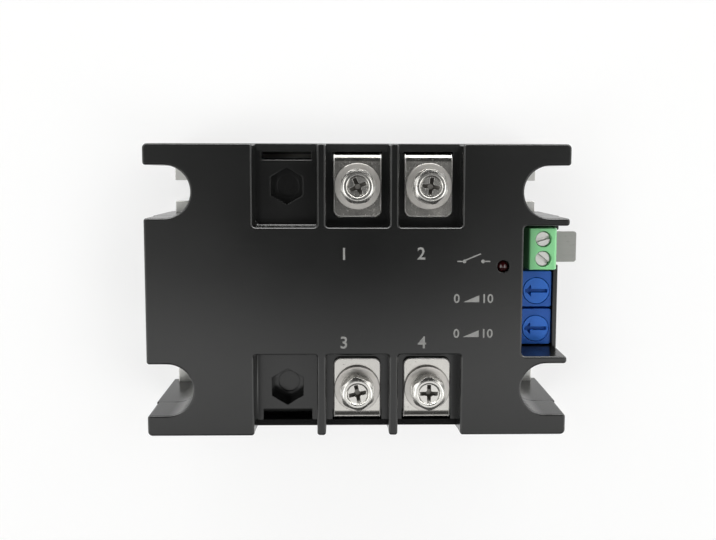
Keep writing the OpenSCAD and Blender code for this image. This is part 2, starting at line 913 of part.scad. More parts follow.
module chip_strap(n) {
  strap_w = 2.2;
  land = 4;
  edge = 0.5;
  far_y = chip_y + chip_w / 2 - edge;
  step_y = -pad_gap - 1.5;
  color([0.72, 0.45, 0.28])
    at_chip(n)
      translate([-chip_w / 2 + strap_w / 2 + edge, 0, 0])
        rotate([90, 0, 90])
          linear_extrude(strap_w, center = true)
            polygon([
              [far_y, strap_z], [far_y, strap_z + strap_t],
              [step_y - strap_t, strap_z + strap_t], [step_y - strap_t, chip_z + strap_t],
              [step_y - land, chip_z + strap_t], [step_y - land, chip_z],
              [step_y, chip_z], [step_y, strap_z]
            ]);
}

module gate_leads() {
  color(plated)
    for (n = [1, 2])
      at_chip(n)
        translate([gate_x, chip_y, strap_z])
          cylinder(d = lead_d, h = board_top + lead_above - strap_z);
}

// Board and what is soldered to it

module board_holes() {
  hole_d = lead_d + 2 * turn_gap;
  contact_hole_d = norm([tongue_t, pin_w]) + 2 * turn_gap;
  for (n = [1, 2]) {
    at_trimmer(n)
      for (place = trimmer_pin_places)
        translate([place[0], place[1], -board_t - eps])
          cylinder(d = hole_d, h = board_t + 2 * eps);
    at_pole(n)
      translate([contact_back + tongue_t / 2, 0, -board_t - eps])
        cylinder(d = contact_hole_d, h = board_t + 2 * eps);
    at_chip(n)
      translate([gate_x, chip_y, board_z - eps])
        cylinder(d = hole_d, h = board_t + 2 * eps);
  }
  for (y = [-1, 1])
    translate([lamp_x, lamp_y + y * lamp_lead_pitch / 2, board_z - eps])
      cylinder(d = hole_d, h = board_t + 2 * eps);
}

module control_board() {
  color(board_green)
    difference() {
      translate([board_x1, -board_w / 2, board_z])
        cube([board_l, board_w, board_t]);
      board_holes();
    }
}

// A chip package with a row of legs on each long side
module chip_package(l, legs) {
  stand = package_h * 0.15;
  leg_w = package_pitch / 4;
  body_z = stand + package_h / 2;
  color([0.12, 0.12, 0.13])
    translate([0, 0, body_z])
      difference() {
        cube([l, package_w, package_h], center = true);
        translate([-l / 2, 0, package_h / 2])
          cylinder(d = package_w * 0.22, h = package_h * 0.3, center = true);
      }
  color(plated)
    for (i = [0:legs - 1], y = [-1, 1])
      translate([(i - (legs - 1) / 2) * package_pitch, y * (package_w + leg_w) / 2, body_z / 2])
        cube([leg_w, leg_w + eps, body_z], center = true);
}

// Places on the board: a share of its length, and of the free half width between the bays
module on_board(along, across) {
  translate([board_x1 + along * board_l, across * free_half, board_top])
    children();
}

module controller_chip() {
  on_board(0.67, -0.42)
    chip_package(controller_l, 4);
}

module optocoupler(n) {
  on_board(0.377, n == 1 ? 0.74 : -0.74)
    chip_package(optocoupler_l, 3);
}

module rectifier() {
  on_board(0.095, -0.62)
    chip_package(rectifier_l, 2);
}

module supply_capacitor() {
  color([0.55, 0.12, 0.1])
    on_board(0.18, 0.5)
      linear_extrude(film_h)
        rounded_rect(film_l, film_w, film_w / 6);
}

module smoothing_capacitor() {
  can_r = can_d / 2;
  groove = can_r / 10;
  groove_z = can_r / 2;
  color([0.12, 0.14, 0.2])
    on_board(0.255, -0.56)
      rotate_extrude()
        polygon([[0, 0], [can_r, 0], [can_r, groove_z - groove], [can_r - groove, groove_z],
                 [can_r, groove_z + groove], [can_r, can_h - groove], [can_r - groove, can_h], [0, can_h]]);
}

module resistors() {
  color([0.75, 0.65, 0.48])
    for (i = [0:3])
      on_board(0.5, -0.48)
        translate([0, (i - 1.5) * resistor_pitch, resistor_d / 2])
          rotate([0, 90, 0])
            cylinder(d = resistor_d, h = resistor_l, center = true);
}

top_cover();
lower_case();
base_plate();
for (n = [1, 2]) {
  terminal(n);
  terminal(n + 2);
}
for (n = [1:4]) {
  terminal_nut(n);
  flat_washer(n);
  spring_washer(n);
  terminal_screw(n);
}
control_board();
terminal_block();
for (n = [1, 2]) {
  block_screw(n);
  block_cage(n);
  block_contact(n);
  trimmer_body(n);
  trimmer_rotor(n);
  thyristor(n);
  chip_strap(n);
  optocoupler(n);
}
shorting_link();
trimmer_pins();
status_lamp();
lamp_leads();
ceramic_substrate();
copper_pads();
gate_leads();
controller_chip();
rectifier();
supply_capacitor();
smoothing_capacitor();
resistors();
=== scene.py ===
# %% [markdown]
# # A soft starter module, dressed for a close look
#
# The CAD model gives every piece its true size and place. This lesson adds what CAD leaves out:
# small radii on the moulded and pressed edges, rolled threads, print, and finishes made of nodes.
# Everything is in metres, in the CAD frame: +Z out of the front face, +X towards the control recess.

# %% Load the CAD frame
import json
import math

import bmesh
import bpy
from mathutils import Matrix, Vector


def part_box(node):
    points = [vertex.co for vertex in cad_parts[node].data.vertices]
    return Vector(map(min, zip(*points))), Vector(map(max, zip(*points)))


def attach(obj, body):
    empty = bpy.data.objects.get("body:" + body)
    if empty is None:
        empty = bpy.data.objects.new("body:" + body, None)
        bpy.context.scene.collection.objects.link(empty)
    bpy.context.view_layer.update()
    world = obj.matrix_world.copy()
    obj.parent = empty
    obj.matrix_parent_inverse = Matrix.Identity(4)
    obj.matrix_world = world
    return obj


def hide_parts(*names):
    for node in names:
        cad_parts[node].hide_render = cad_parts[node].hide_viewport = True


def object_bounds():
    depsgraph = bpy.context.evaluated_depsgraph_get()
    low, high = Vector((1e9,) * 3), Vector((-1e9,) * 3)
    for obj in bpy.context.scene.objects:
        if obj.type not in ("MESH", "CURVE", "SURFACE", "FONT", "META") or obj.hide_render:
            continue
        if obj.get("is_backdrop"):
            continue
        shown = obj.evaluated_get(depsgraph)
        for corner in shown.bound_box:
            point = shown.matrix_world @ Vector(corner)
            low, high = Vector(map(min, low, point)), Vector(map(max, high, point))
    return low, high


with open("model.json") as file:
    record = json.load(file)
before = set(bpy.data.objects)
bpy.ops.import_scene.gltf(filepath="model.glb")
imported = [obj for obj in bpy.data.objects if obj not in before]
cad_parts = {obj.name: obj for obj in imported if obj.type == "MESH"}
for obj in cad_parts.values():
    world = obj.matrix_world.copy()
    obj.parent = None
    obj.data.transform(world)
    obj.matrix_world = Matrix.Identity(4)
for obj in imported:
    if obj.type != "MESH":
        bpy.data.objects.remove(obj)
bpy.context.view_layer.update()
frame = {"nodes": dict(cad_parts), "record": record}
nodes = frame["nodes"]
MM = 0.001
body_of_node = {n: b for b, members in frame["record"]["behaviour"]["bodies"].items() for n in members}

# %% [markdown]
# ## Camera
#
# The photograph looks almost straight down on the front face, from a little above the upper edge.
# The eye's place and the focal length were found from the edges of the housing, whose
# front and back outlines differ in size by an amount that only one distance explains. The lens
# axis meets the photograph above its middle row, and the lens shift says by how much.

# %% Place the camera
IMAGE_W, IMAGE_H = 716, 540
FOCAL_PX, AXIS_ROW = 720.2, 230
EYE_PLACE = Vector((-3.18, 29.64, 209.45)) * MM
EYE_TURN = (-0.0806, -0.0181, 0.0018)
SENSOR_W = 36
camera = bpy.data.objects.new("camera", bpy.data.cameras.new("camera"))
bpy.context.scene.collection.objects.link(camera)
camera.location = EYE_PLACE
camera.rotation_euler = EYE_TURN
camera.data.sensor_width = SENSOR_W
camera.data.lens = SENSOR_W * FOCAL_PX / IMAGE_W
camera.data.shift_y = (AXIS_ROW - IMAGE_H / 2) / IMAGE_W
camera.data.clip_start, camera.data.clip_end = 0.01, 20
bpy.context.scene.camera = camera
print("lens", round(camera.data.lens, 2), "mm, shift", round(camera.data.shift_y, 4))

# %% [markdown]
# ## Shader sums
#
# A finish is easier to read as a sum than as a list of links. This class wraps one socket of a
# node tree: an operator adds a Math node, and `node` adds any other node. The same class
# serves materials, the world and Geometry Nodes, because all three are node trees.

# %% A socket that can be used in sums
class Sock:
    """One output socket of a node tree."""

    def __init__(self, tree, socket):
        self.tree, self.socket = tree, socket

    def node(self, kind, settings=None, inputs=None, output=0):
        """Adds a node: its settings first, then the values or links of its sockets."""
        made = self.tree.nodes.new(kind)
        for key, value in (settings or {}).items():
            setattr(made, key, value)
        for key, value in (inputs or {}).items():
            self.feed(made.inputs[key], value)
        return Sock(self.tree, made.outputs[output])

    def feed(self, target, value):
        """Links a socket to target, or sets a plain value there."""
        if isinstance(value, Sock):
            self.tree.links.new(value.socket, target)
        else:
            target.default_value = value

    def maths(self, operation, first, second=0.0):
        return self.node("ShaderNodeMath", {"operation": operation}, {0: first, 1: second})

    def __add__(self, other):
        return self.maths("ADD", self, other)

    __radd__ = __add__

    def __mul__(self, other):
        return self.maths("MULTIPLY", self, other)

    __rmul__ = __mul__

    def __sub__(self, other):
        return self.maths("SUBTRACT", self, other)

    def __rsub__(self, other):
        return self.maths("SUBTRACT", other, self)

    def __truediv__(self, other):
        return self.maths("DIVIDE", self, other)

    def __rtruediv__(self, other):
        return self.maths("DIVIDE", other, self)

    def __gt__(self, other):
        return self.maths("GREATER_THAN", self, other)

    def step(self, low, high):
        """0 below low, 1 above high, smooth between."""
        return self.node("ShaderNodeMapRange", {"interpolation_type": "SMOOTHSTEP"},
                         {"Value": self, "From Min": low, "From Max": high}, "Result")

    def stretched(self, x, y, z):
        return self.node("ShaderNodeMapping", {}, {"Vector": self, "Scale": (x, y, z)})

    def noise(self, per_mm, detail=2.0, rough=0.5):
        """Noise with about per_mm blotches a millimetre, from 0 to 1."""
        return self.node("ShaderNodeTexNoise", {}, {"Vector": self, "Scale": per_mm / MM,
                                                    "Detail": detail, "Roughness": rough}, "Fac")

    def mix(self, low, high):
        """A colour between low and high, with this value as the share of high."""
        return self.node("ShaderNodeMix", {"data_type": "RGBA"}, {0: self, 6: low, 7: high}, 2)


def rgb(red, green, blue):
    return (red, green, blue, 1.0)


def start_finish(name, constants):
    """A new material, its shader and its Object coordinates; constants are set on the shader."""
    material = bpy.data.materials.new(name)
    material.use_nodes = True
    tree = material.node_tree
    shader = tree.nodes["Principled BSDF"]
    for socket, value in constants.items():
        shader.inputs[socket].default_value = value
    place = Sock(tree, tree.nodes.new("ShaderNodeTexCoord").outputs["Object"])
    return material, shader, place


def bump(place, height, shader, depth_mm):
    """Raises the surface by height, where 1 stands for depth_mm."""
    raised = place.node("ShaderNodeBump", {}, {"Height": height, "Distance": depth_mm * MM})
    place.feed(shader.inputs["Normal"], raised)


print("shader sums ready")

# %% [markdown]
# ## Floor and light
#
# A black object shows little but what it mirrors. The front face mirrors the sky close to the zenith,
# so the sky is dim there and grows brighter towards the lower side: the plastic then runs from
# near black at the top to dark grey at the bottom, with a darker patch where it mirrors the
# camera. A low ring of light, strongest behind the upper edge, and a soft box on each side draw
# the thin bright lines along the rims. The sky could be built from lamps alone, but as a sum over
# the ray's direction each light is one line and stays smooth. One weak lamp above the lower edge
# gives the light a direction.

# %% Sky as a sum over direction
world = bpy.data.worlds.new("studio")
bpy.context.scene.world = world
world.use_nodes = True
sky_tree = world.node_tree
ray = Sock(sky_tree, sky_tree.nodes.new("ShaderNodeTexCoord").outputs["Generated"])
east, north, up = (ray.node("ShaderNodeSeparateXYZ", {}, {"Vector": ray}, k) for k in "XYZ")
south = 0.0 - north
ZENITH, SOUTH_GLOW, SIDE_BOX = 0.28, 0.65, 2.8
RING_LOW, RING_NORTH = 2.2, 12.0
CAMERA_EAST, CAMERA_SOUTH = 0.012, 0.08
NORTH_DARK, SOUTH_DARK, CAMERA_DARK = 0.95, 0.92, 0.98
BLUE_SHARE = 0.985
# Each fade runs from its first share of the ray's direction to its second
NORTH_FADE, SOUTH_RISE, SOUTH_FADE = (0.1, 0.5), (-0.06, 0.24), (0.30, 0.62)
CAMERA_FADE, RING_TOP = (0.09, 0.25), (0.12, 0.32)
RING_SIDES, RING_BACK = (-0.9, 0.1), (0.3, 0.95)
BOX_INNER, BOX_OUTER, BOX_ENDS = (0.40, 0.52), (0.68, 0.80), (0.3, 0.6)
north_dim = 1.0 - north.step(*NORTH_FADE) * NORTH_DARK
south_dim = 1.0 - south.step(*SOUTH_FADE) * SOUTH_DARK
dome = (north_dim * ZENITH + south.step(*SOUTH_RISE) * SOUTH_GLOW) * south_dim
aside, below = east - CAMERA_EAST, south - CAMERA_SOUTH
from_camera = ray.maths("SQRT", aside * aside + below * below)
camera_patch = 1.0 - (1.0 - from_camera.step(*CAMERA_FADE)) * CAMERA_DARK
ring = north.step(*RING_SIDES) * RING_LOW + north.step(*RING_BACK) * RING_NORTH
low_light = (1.0 - up.step(*RING_TOP)) * ring
along_x, along_y = (ray.maths("ABSOLUTE", side) for side in (east, north))
between = along_x.step(*BOX_INNER) * (1.0 - along_x.step(*BOX_OUTER))
side_boxes = between * (1.0 - along_y.step(*BOX_ENDS)) * SIDE_BOX
sky = dome * camera_patch + low_light + side_boxes
sky_colour = ray.node("ShaderNodeCombineColor", {}, {0: sky, 1: sky, 2: sky * BLUE_SHARE})
ray.feed(sky_tree.nodes["Background"].inputs["Color"], sky_colour)
bpy.context.scene.view_settings.view_transform = "Standard"
print("sky: zenith", ZENITH, "south", SOUTH_GLOW, "ring", RING_LOW, RING_NORTH, "sides", SIDE_BOX)

# %% Soft box overhead
BOX_LENGTH, BOX_WIDTH, BOX_POWER = 1.0, 0.2, 0.5
BOX_PLACE = Vector((0.0, -0.28, 0.95))
soft_box = bpy.data.objects.new("soft_box", bpy.data.lights.new("soft_box", "AREA"))
bpy.context.scene.collection.objects.link(soft_box)
soft_box.data.shape = "RECTANGLE"
soft_box.data.size, soft_box.data.size_y = BOX_LENGTH, BOX_WIDTH
soft_box.data.energy = BOX_POWER
soft_box.location = BOX_PLACE
soft_box.rotation_euler = (-BOX_PLACE).to_track_quat("-Z", "Y").to_euler()
print("soft box", BOX_LENGTH, "by", BOX_WIDTH, "m")

# %% White floor that keeps a faint shadow
floor_mesh = bpy.data.meshes.new("floor")
FLOOR_HALF, FLOOR_DROP = 2.0, 0.05 * MM
PAPER, PALE_PAPER = rgb(0.34, 0.34, 0.34), rgb(0.36, 0.36, 0.36)
BACKLIGHT = 0.65
corners = [(-1, -1), (1, -1), (1, 1), (-1, 1)]
places = [(x * FLOOR_HALF, y * FLOOR_HALF, -FLOOR_DROP) for x, y in corners]
floor_mesh.from_pydata(places, [], [(0, 1, 2, 3)])
floor = bpy.data.objects.new("floor", floor_mesh)
bpy.context.scene.collection.objects.link(floor)
paper, paper_shader, paper_place = start_finish("white_paper", {
    "Roughness": 0.9, "Specular IOR Level": 0.1, "Emission Strength": 1.0})
fibre = paper_place.noise(0.4, 3.0)
paper_place.feed(paper_shader.inputs["Base Color"], fibre.mix(PAPER, PALE_PAPER))
light_path = paper.node_tree.nodes.new("ShaderNodeLightPath")
rays = ("Is Camera Ray", "Is Glossy Ray", "Is Transmission Ray")
camera_ray, glossy_ray, through_ray = (Sock(paper.node_tree, light_path.outputs[k]) for k in rays)
glow = (camera_ray + glossy_ray + through_ray) * BACKLIGHT
paper_place.feed(paper_shader.inputs["Emission Color"],
                 paper_place.node("ShaderNodeCombineColor", {}, {0: glow, 1: glow, 2: glow}))
floor_mesh.materials.append(paper)
floor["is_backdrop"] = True
print("floor", 2 * FLOOR_HALF, "m square, backlight", BACKLIGHT)

# %% [markdown]
# ## Moulded plastics
#
# The shells are black, glass-filled plastic from a fine spark-eroded mould: a very dark base, a
# satin sheen and a grain a few tenths of a millimetre wide. A plain dark colour would look
# like painted metal, so the roughness wanders a little, and hair-fine scuffs cross the surface.
# The small parts share one recipe with their own colours.

# %% Black shells
def scuffs(place, turn, per_mm, share):
    """Thin marks in one direction, from 0 to 1."""
    turned = place.node("ShaderNodeMapping", {}, {
        "Vector": place, "Rotation": (0, 0, math.radians(turn)), "Scale": (1, 40, 1)})
    return turned.noise(per_mm, 1.0).step(share, share + 0.06)


BLACK, WORN_BLACK = rgb(0.0042, 0.0044, 0.0043), rgb(0.0085, 0.0089, 0.0087)


def black_shell(name):
    material, shader, place = start_finish(name, {"IOR": 1.5, "Specular IOR Level": 0.5})
    grain = place.noise(3.2, 3.0, 0.6)
    cloud = place.noise(0.06, 3.0)
    marks = scuffs(place, 24, 0.05, 0.68) + scuffs(place, -63, 0.04, 0.7)
    shade = cloud * 0.6 + grain * 0.4
    place.feed(shader.inputs["Base Color"], shade.mix(BLACK, WORN_BLACK))
    place.feed(shader.inputs["Roughness"], 0.16 + cloud * 0.06 + grain * 0.04 + marks * 0.03)
    bump(place, grain - marks * 0.1, shader, 0.006)
    return material


cover_plastic = black_shell("moulded_black_cover")
case_plastic = black_shell("moulded_black_case")
print("shells:", cover_plastic.name, case_plastic.name)

# %% Small coloured mouldings
def moulding(name, dark, light, rough, grain_per_mm=2.5, constants=None):
    material, shader, place = start_finish(name, {"IOR": 1.5, **(constants or {})})
    grain = place.noise(grain_per_mm, 3.0, 0.6)
    cloud = place.noise(0.25, 2.0)
    place.feed(shader.inputs["Base Color"], (cloud * 0.7 + grain * 0.3).mix(dark, light))
    place.feed(shader.inputs["Roughness"], rough + grain * 0.1 - cloud * 0.05)
    bump(place, grain, shader, 0.01)
    return material


green_block = moulding("green_block", rgb(0.22, 0.65, 0.28), rgb(0.30, 0.79, 0.36), 0.34)
LOW_SHINE = {"Specular IOR Level": 0.25}
blue_case = moulding("blue_trimmer_case", rgb(0.017, 0.10, 0.45), rgb(0.025, 0.14, 0.57), 0.34,
                     constants=LOW_SHINE)
blue_rotor = moulding("blue_trimmer_rotor", rgb(0.026, 0.155, 0.645), rgb(0.040, 0.207, 0.79), 0.32,
                      constants=LOW_SHINE)
# A darker blue for the floor of the trimmer slots: painted shade in the slot
painted_slot_shade = moulding("blue_slot_painted_shade", rgb(0.0025, 0.058, 0.27), rgb(0.004, 0.082, 0.37), 0.5,
                      constants=LOW_SHINE)
red_lens = moulding("red_lens", rgb(0.014, 0.001, 0.0015), rgb(0.03, 0.002, 0.003), 0.05, 0.8,
                    {"Coat Weight": 0.4, "Coat Roughness": 0.05})
epoxy_black = moulding("epoxy_black", rgb(0.015, 0.015, 0.016), rgb(0.026, 0.026, 0.028), 0.5)
film_red = moulding("film_red", rgb(0.30, 0.03, 0.02), rgb(0.40, 0.05, 0.035), 0.3)
can_sleeve = moulding("can_sleeve", rgb(0.012, 0.016, 0.03), rgb(0.02, 0.026, 0.045), 0.3)
lacquer_tan = moulding("lacquer_tan", rgb(0.48, 0.36, 0.2), rgb(0.58, 0.45, 0.27), 0.35)
white_ceramic = moulding("white_ceramic", rgb(0.74, 0.74, 0.7), rgb(0.83, 0.83, 0.8), 0.55)
grey_silicon = moulding("grey_silicon", rgb(0.16, 0.17, 0.2), rgb(0.23, 0.24, 0.28), 0.25)
print("finishes so far:", len(bpy.data.materials))

# %% [markdown]
# ## Metals
#
# The terminals are nickel-plated strip, the screws and washers plated steel, and the base plate
# bare metal. Plating is never an even mirror: the rolled sheet under it leaves faint lines, and
# handling leaves cloudy patches. Noise stretched along one axis gives the lines, and wide noise
# in the roughness gives the patches.

# %% Plated and bare metals
def metal(name, dark, light, rough, lines=(1, 1, 1), lines_per_mm=1.2, depth_mm=0.004):
    material, shader, place = start_finish(name, {"Metallic": 1.0})
    rolled = place.stretched(*lines).noise(lines_per_mm, 3.0, 0.6)
    patch = place.noise(0.22, 3.0, 0.55)
    spots = place.noise(1.6, 2.0).step(0.62, 0.72)
    place.feed(shader.inputs["Base Color"], (patch * 0.6 + rolled * 0.4 - spots * 0.25).mix(dark, light))
    place.feed(shader.inputs["Roughness"], rough + patch * 0.14 + rolled * 0.06 + spots * 0.08)
    bump(place, rolled, shader, depth_mm)
    return material


STRIP_LINES = (3, 0.25, 3)
NICKEL = (rgb(0.41, 0.40, 0.378), rgb(0.60, 0.585, 0.558))
nickel_strip = metal("nickel_strip", *NICKEL, 0.12, STRIP_LINES, 1.0, 0.006)
plated_steel = metal("plated_steel", rgb(0.46, 0.45, 0.43), rgb(0.68, 0.67, 0.64), 0.14, depth_mm=0.002)
dull_plating = metal("dull_plating", rgb(0.54, 0.52, 0.495), rgb(0.74, 0.715, 0.685), 0.27)
# A darker metal for the faces deep in the screws' cross recess: painted shade in the recess
recess_painted_shade = metal("recess_painted_shade", rgb(0.14, 0.135, 0.126), rgb(0.30, 0.29, 0.272), 0.35)
# A lighter, rougher metal for the rounded edges of the terminal strips: a painted highlight along the
# edges
painted_edge_highlight = metal("strip_edge_highlight_paint", rgb(0.66, 0.65, 0.63), rgb(0.86, 0.85, 0.83), 0.62)
white_zinc = metal("white_zinc", rgb(0.56, 0.555, 0.54), rgb(0.72, 0.71, 0.695), 0.42)
plate_metal = metal("plate_metal", rgb(0.50, 0.50, 0.48), rgb(0.66, 0.66, 0.64), 0.30, (0.2, 4, 1))
link_metal = metal("tinned_link", rgb(0.24, 0.242, 0.23), rgb(0.33, 0.332, 0.316), 0.36, (0.3, 4, 1), 0.8)
small_metal = metal("tinned_pin", rgb(0.55, 0.54, 0.52), rgb(0.74, 0.73, 0.71), 0.22)
copper = metal("copper", rgb(0.55, 0.27, 0.15), rgb(0.72, 0.40, 0.24), 0.28)
print("metals ready")

# %% Board with its copper traces under green lacquer
TRACE_PITCH, TRACE_GAP = 1.27 * MM, 0.62


def board_finish():
    material, shader, place = start_finish("lacquered_board", {"IOR": 1.5})
    axis = {k: place.node("ShaderNodeSeparateXYZ", {}, {"Vector": place}, k) for k in "XY"}
    row = axis["Y"].maths("FRACT", axis["Y"] / TRACE_PITCH)
    trace = (row > TRACE_GAP) * (place.stretched(0.15, 1, 1).noise(0.5, 0.0) > 0.5)
    weave = place.noise(4.0, 2.0)
    lacquer = weave.mix(rgb(0.012, 0.075, 0.03), rgb(0.018, 0.10, 0.042))
    place.feed(shader.inputs["Base Color"], trace.mix(lacquer, rgb(0.03, 0.17, 0.07)))
    place.feed(shader.inputs["Roughness"], 0.28 + weave * 0.1)
    bump(place, trace * 0.6 + weave * 0.2, shader, 0.03)
    return material


board_lacquer = board_finish()
print("board finish:", board_lacquer.name)

# %% [markdown]
# ## Rounded edges
#
# No moulded or pressed edge is sharp, and on black plastic the thin bright line along a rounded
# edge is most of what the eye sees. Radii of a few tenths of a millimetre on every edge
# would be slow in CAD, so each CAD node is copied here, its loose triangles are merged, flat
# areas become single faces again, and the outer edges are bevelled. Faces too narrow for the radius
# can be spared. The copy stands for the node.

# %% Copy a node and round its edges
MERGE_DIST, FLAT_ANGLE = 0.002 * MM, math.radians(0.5)
ROUND, CHAMFER = 0.5, 0.25


def merged_copy(node):
    made = bmesh.new()
    made.from_mesh(nodes[node].data)
    bmesh.ops.remove_doubles(made, verts=made.verts, dist=MERGE_DIST)
    bmesh.ops.dissolve_limit(made, angle_limit=FLAT_ANGLE, verts=made.verts, edges=made.edges)
    return made


def round_edges(made, radius, sharp=38.0, segments=2, wanted=lambda edge: True,
                profile=ROUND, hollow=False):
    """Rounds the outer edges sharper than an angle, or the hollow ones, and marks the new faces."""
    mark = made.faces.layers.int.get("rounded") or made.faces.layers.int.new("rounded")
    chosen = [e for e in made.edges if len(e.link_faces) == 2 and e.is_convex != hollow
              and e.calc_face_angle(0.0) > math.radians(sharp) and wanted(e)]
    new = bmesh.ops.bevel(made, geom=chosen, offset=radius, offset_type="OFFSET", segments=segments,
                          profile=profile, affect="EDGES", clamp_overlap=False)
    for face in new["faces"]:
        face[mark] = 1
    return len(chosen)


print("loose corners merge within", round(MERGE_DIST / MM, 4), "mm")

# %% Normals that keep flat faces flat
FLAT, CURVED, ROUNDED = 0, 1, 2
SOFT_ANGLE = math.radians(48)
RUNS_ON = {CURVED: math.cos(math.radians(30)), ROUNDED: math.cos(math.radians(50))}
SAME_CURVE = 0.5


def face_kinds(made):
    """Which faces are flat, which are strips of a curved surface, and which are rounded edges."""
    mark = made.faces.layers.int.get("rounded") or made.faces.layers.int.new("rounded")

    def soft(edge):
        plain = len(edge.link_faces) == 2 and not any(f[mark] for f in edge.link_faces)
        return plain and FLAT_ANGLE < edge.calc_face_angle(0.0) < SOFT_ANGLE

    kinds = []
    for face in made.faces:
        strip = len(face.verts) <= 6 and sum(soft(e) for e in face.edges) >= 2
        kinds.append(ROUNDED if face[mark] else CURVED if strip else FLAT)
    return kinds


def corner_normals(made):
    """A normal for each face corner: a curved or rounded face runs on into the flat one beside it."""
    made.normal_update()
    made.faces.index_update()
    kinds = face_kinds(made)
    normals = []
    for face in made.faces:
        kind = kinds[face.index]
        for corner in face.loops:
            if kind == FLAT:
                normals.append(face.normal.copy())
                continue
            near = [(c.face.normal.dot(face.normal), c) for c in corner.vert.link_loops]
            flats = [(d, c.face.normal) for d, c in near if kinds[c.face.index] == FLAT]
            best = max(flats, key=lambda pair: pair[0], default=(-1.0, None))
            if best[0] > RUNS_ON[kind]:
                normals.append(best[1].copy())
                continue
            alike = [c for d, c in near if kinds[c.face.index] == CURVED and d > math.cos(SOFT_ANGLE)]
            alike = alike or [c for d, c in near if kinds[c.face.index] == kind and d > SAME_CURVE]
            normals.append(sum((c.face.normal * c.calc_angle() for c in alike), Vector()).normalized())
    return normals


def as_piece(made, name, *finishes):
    """A smooth-shaded object from an edit mesh, with flat faces kept flat."""
    normals = corner_normals(made)
    mesh = bpy.data.meshes.new(name)
    made.to_mesh(mesh)
    made.free()
    for finish in finishes:
        mesh.materials.append(finish)
    mesh.polygons.foreach_set("use_smooth", [True] * len(mesh.polygons))
    mesh.normals_split_custom_set(normals)
    piece = bpy.data.objects.new(name, mesh)
    bpy.context.scene.collection.objects.link(piece)
    return piece


print("faces within", round(math.degrees(SOFT_ANGLE)), "degrees of each other are shaded as one curve")


def stand_for(piece, node):
    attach(piece, body_of_node[node])
    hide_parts(node)
    return piece


def beside_wide_faces(edge, radius):
    """Whether the faces at an edge have room for a radius at each side."""
    return all(f.calc_area() > 2 * radius * edge.calc_length() for f in edge.link_faces)


def rounded(node, radius, finish, name, segments=2, edge_finish=None, spare_narrow=False):
    """A copy with rounded edges, which may have a finish of their own; narrow faces can be spared."""
    made = merged_copy(node)
    count = round_edges(made, radius, segments=segments,
                        wanted=lambda edge: not spare_narrow or beside_wide_faces(edge, radius))
    finishes = [finish]
    if edge_finish:
        finishes.append(edge_finish)
        mark = made.faces.layers.int["rounded"]
        for face in made.faces:
            face.material_index = face[mark]
    piece = stand_for(as_piece(made, name, *finishes), node)
    print(f"{name}: {count} edges rounded to {radius / MM:.2f} mm, {len(piece.data.polygons)} faces")
    return piece


# %% [markdown]
# ## Housing
#
# The mould gives the front shell wide radii where a hand can touch it: on the upright corners of the
# face and of the ribs, and round the face itself, where it is closer to a chamfer. The decks of the two
# blank bays meet their walls in a small hollow. Everything else has a smaller radius. One bevel
# with a single width would make the ribs too sharp or close the small holes, so the shell is
# rounded in four rounds.

# %% Front shell in four rounds
CORNER_R, RIM_R, FOOT_R, SMALL_R = 0.7 * MM, 0.34 * MM, 0.28 * MM, 0.15 * MM
BLANK_DECK_AREA = 100 * MM * MM
LAMP_CLEAR, UPRIGHT = 3 * MM, 0.99
TOUCH, NEAR = 0.01 * MM, 0.05 * MM
lamp_low, lamp_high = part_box("status_lamp")
lamp_axis = (lamp_low + lamp_high) / 2
shell = merged_copy("top_cover")
FACE_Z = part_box("top_cover")[1].z
first_x, second_x = (sum(corner.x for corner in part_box(f"input_terminal_{n}")) / 2 for n in (1, 2))
bay_pitch = second_x - first_x
blank_x = first_x - bay_pitch


def middle_of(edge):
    return (edge.verts[0].co + edge.verts[1].co) / 2


def from_axis(place, axis):
    """Distance of a place from an upright axis."""
    return math.hypot(place.x - axis.x, place.y - axis.y)


def all_above(edge, height):
    return all(v.co.z > height for v in edge.verts)


def reaches_face(edge):
    low, high = sorted((v.co for v in edge.verts), key=lambda co: co.z)
    return high.z > FACE_Z - NEAR and (high - low).normalized().z > UPRIGHT


def at_blank_foot(edge):
    on_deck = any(f.normal.z > UPRIGHT and f.calc_area() > BLANK_DECK_AREA for f in edge.link_faces)
    return on_deck and abs(middle_of(edge).x - blank_x) < bay_pitch / 2


def on_face_rim(edge):
    return all_above(edge, FACE_Z - TOUCH) and from_axis(middle_of(edge), lamp_axis) >= LAMP_CLEAR


round_counts = [
    round_edges(shell, CORNER_R, segments=4, wanted=reaches_face),
    round_edges(shell, RIM_R, segments=3, wanted=on_face_rim, profile=CHAMFER),
    round_edges(shell, FOOT_R, segments=3, wanted=at_blank_foot, profile=CHAMFER, hollow=True),
    round_edges(shell, SMALL_R),
]
front_shell = stand_for(as_piece(shell, "front_shell", cover_plastic), "top_cover")
print("front shell edges:", round_counts, "faces", len(front_shell.data.polygons))

# %% Rear shell and plate
CASE_R, PLATE_R = 0.22 * MM, 0.2 * MM
rounded("lower_case", CASE_R, case_plastic, "rear_shell", spare_narrow=True)
rounded("base_plate", PLATE_R, plate_metal, "heat_plate")

# %% Terminal strips, washers and nuts
STRIP_R, WASHER_R, SPRING_R, NUT_R = 0.32 * MM, 0.14 * MM, 0.1 * MM, 0.12 * MM
for node in ("input_terminal_1", "input_terminal_2", "output_terminal_1", "output_terminal_2"):
    # The rounded edges take the lighter metal: a painted highlight along the strip edges
    rounded(node, STRIP_R, nickel_strip, node + "_strip", 3, painted_edge_highlight)
for n in range(1, 5):
    rounded(f"flat_washer_{n}", WASHER_R, dull_plating, f"flat_ring_{n}")
    rounded(f"spring_washer_{n}", SPRING_R, plated_steel, f"spring_ring_{n}")
    rounded(f"terminal_nut_{n}", NUT_R, plated_steel, f"captive_nut_{n}")

